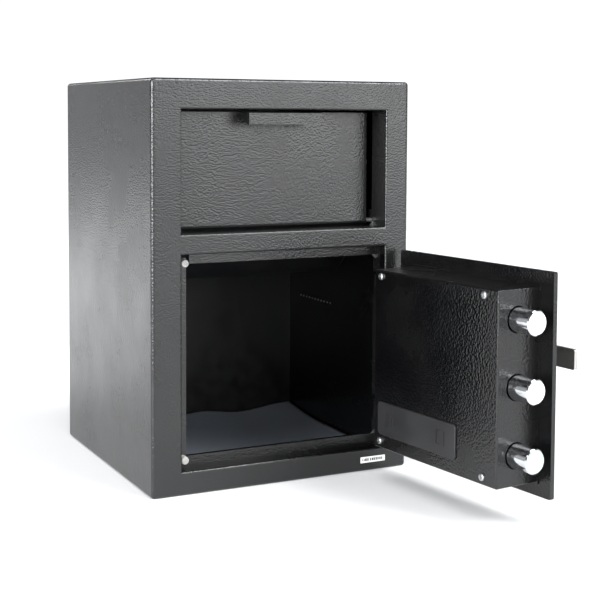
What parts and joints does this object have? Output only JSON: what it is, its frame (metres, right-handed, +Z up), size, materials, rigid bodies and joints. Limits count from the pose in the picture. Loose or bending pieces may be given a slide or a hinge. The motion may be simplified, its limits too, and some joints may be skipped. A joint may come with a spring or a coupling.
{
  "type": "depository drop safe",
  "caption": "Front-loading deposit safe: tilting hopper with a pull lip above, and a bolt-work door with an electronic lock and lever below.",
  "frame": {"origin": "centre of the four anchor holes, on the underside of the base", "axes": "+Z up, -Y out of the front face, +X to the right seen from the front"},
  "size_m": [0.4179, 0.6402, 0.5],
  "materials": {
    "hammered_coat": "near-black hammertone powder coat, glossy",
    "smooth_coat": "smooth black paint inside",
    "chrome_plate": "polished chrome on the bolts",
    "zinc_plate": "bright zinc plated steel",
    "satin_metal": "satin nickel lever",
    "grey_rubber": "light grey moulded rubber",
    "mat_felt": "needle-punched grey felt",
    "black_plastic": "moulded black plastic, fine grain",
    "key_plastic": "grey moulded keys",
    "label_white": "white printed label stock",
    "label_cream": "cream paper sticker",
    "label_green": "pale green paper sticker",
    "cell_wrap": "shrink-wrapped battery cell",
    "board_green": "solder-masked circuit board",
    "lamp_lens": "tinted lamp lens",
    "brass": "machined brass"
  },
  "bodies": {
    "cabinet": {"cabinet_shell": "hammered_coat", "back_panel": "smooth_coat", "door_jamb": "hammered_coat", "door_bumpers": "grey_rubber", "hopper_frame": "hammered_coat", "hopper_pivot_rod": "zinc_plate", "pivot_rod_clips": "zinc_plate", "anti_fish_baffle": "smooth_coat", "hinge_brackets": "smooth_coat", "hinge_pins": "zinc_plate", "floor_mat": "mat_felt", "wall_weld_studs": "zinc_plate", "corner_welds": "zinc_plate", "serial_label": "label_white"},
    "hopper": {"hopper_panel": "hammered_coat", "hopper_tray": "smooth_coat", "hopper_handle": "hammered_coat"},
    "door": {"door_plate": "hammered_coat", "bolt_cover": "hammered_coat", "cover_posts": "zinc_plate", "cover_screws": "zinc_plate", "hinge_arms": "smooth_coat", "bolt_guide": "smooth_coat", "battery_tray": "black_plastic", "battery_cells": "cell_wrap", "battery_contacts": "zinc_plate", "lock_circuit_board": "board_green", "board_components": "black_plastic", "solenoid_body": "zinc_plate", "keypad_housing": "black_plastic", "keypad_screws": "zinc_plate", "keypad_lamps": "lamp_lens", "key_cylinder": "zinc_plate", "lever_escutcheon": "hammered_coat", "spindle_bush": "brass"},
    "battery_cover": {"battery_cover": "black_plastic"},
    "bolt_work": {"locking_bolts": "chrome_plate", "bolt_labels_cream": "label_cream", "bolt_label_green": "label_green", "bolt_carriage": "zinc_plate", "carriage_screws": "zinc_plate"},
    "lever": {"lever_handle": "satin_metal", "lever_spindle": "zinc_plate", "lever_crank": "zinc_plate", "lever_crank_pin": "zinc_plate"},
    "solenoid_plunger": {"solenoid_plunger": "zinc_plate"},
    "key_plug": {"key_plug": "brass"},
    "key_1": {"key_1": "key_plastic"},
    "key_2": {"key_2": "key_plastic"},
    "key_3": {"key_3": "key_plastic"},
    "key_4": {"key_4": "key_plastic"},
    "key_5": {"key_5": "key_plastic"},
    "key_6": {"key_6": "key_plastic"},
    "key_7": {"key_7": "key_plastic"},
    "key_8": {"key_8": "key_plastic"},
    "key_9": {"key_9": "key_plastic"},
    "key_clear": {"key_clear": "key_plastic"},
    "key_0": {"key_0": "key_plastic"},
    "key_enter": {"key_enter": "key_plastic"}
  },
  "joints": [
    {"name": "door_hinge", "type": "hinge", "parent": "cabinet", "child": "door", "pos_m": [0.16, -0.161, 0.157], "axis": [0, 0, 1], "range_deg": [-96.4, 4]},
    {"name": "hopper_tilt", "type": "hinge", "parent": "cabinet", "child": "hopper", "pos_m": [0, -0.131, 0.3215], "axis": [1, 0, 0], "range_deg": [0, 42]},
    {"name": "bolt_throw", "type": "slide", "parent": "door", "child": "bolt_work", "axis": [-0.1115, 0.9938, 0], "range_m": [0, 0.029]},
    {"name": "lever_turn", "type": "hinge", "parent": "door", "child": "lever", "pos_m": [0.20848, -0.33307, 0.1802], "axis": [0.9938, 0.1115, 0], "range_deg": [0, 75]},
    {"name": "battery_cover_slide", "type": "slide", "parent": "door", "child": "battery_cover", "axis": [0.1115, -0.9938, 0], "range_m": [0, 0.014]},
    {"name": "plunger_slide", "type": "slide", "parent": "door", "child": "solenoid_plunger", "axis": [0.9938, 0.1115, 0], "range_m": [-0.006, 0]},
    {"name": "key_plug_turn", "type": "hinge", "parent": "door", "child": "key_plug", "pos_m": [0.18439, -0.25285, 0.137], "axis": [0.9938, 0.1115, 0], "range_deg": [0, 90]},
    {"name": "key_1_press", "type": "slide", "parent": "door", "child": "key_1", "axis": [-0.9938, -0.1115, 0], "range_m": [0, 0.0014], "stiffness_N_per_m": 400},
    {"name": "key_2_press", "type": "slide", "parent": "door", "child": "key_2", "axis": [-0.9938, -0.1115, 0], "range_m": [0, 0.0014], "stiffness_N_per_m": 400},
    {"name": "key_3_press", "type": "slide", "parent": "door", "child": "key_3", "axis": [-0.9938, -0.1115, 0], "range_m": [0, 0.0014], "stiffness_N_per_m": 400},
    {"name": "key_4_press", "type": "slide", "parent": "door", "child": "key_4", "axis": [-0.9938, -0.1115, 0], "range_m": [0, 0.0014], "stiffness_N_per_m": 400},
    {"name": "key_5_press", "type": "slide", "parent": "door", "child": "key_5", "axis": [-0.9938, -0.1115, 0], "range_m": [0, 0.0014], "stiffness_N_per_m": 400},
    {"name": "key_6_press", "type": "slide", "parent": "door", "child": "key_6", "axis": [-0.9938, -0.1115, 0], "range_m": [0, 0.0014], "stiffness_N_per_m": 400},
    {"name": "key_7_press", "type": "slide", "parent": "door", "child": "key_7", "axis": [-0.9938, -0.1115, 0], "range_m": [0, 0.0014], "stiffness_N_per_m": 400},
    {"name": "key_8_press", "type": "slide", "parent": "door", "child": "key_8", "axis": [-0.9938, -0.1115, 0], "range_m": [0, 0.0014], "stiffness_N_per_m": 400},
    {"name": "key_9_press", "type": "slide", "parent": "door", "child": "key_9", "axis": [-0.9938, -0.1115, 0], "range_m": [0, 0.0014], "stiffness_N_per_m": 400},
    {"name": "key_clear_press", "type": "slide", "parent": "door", "child": "key_clear", "axis": [-0.9938, -0.1115, 0], "range_m": [0, 0.0014], "stiffness_N_per_m": 400},
    {"name": "key_0_press", "type": "slide", "parent": "door", "child": "key_0", "axis": [-0.9938, -0.1115, 0], "range_m": [0, 0.0014], "stiffness_N_per_m": 400},
    {"name": "key_enter_press", "type": "slide", "parent": "door", "child": "key_enter", "axis": [-0.9938, -0.1115, 0], "range_m": [0, 0.0014], "stiffness_N_per_m": 400}
  ],
  "couplings": [
    {"joint": "lever_turn", "follows": "bolt_throw", "rad_per_m": 45.138}
  ]
}
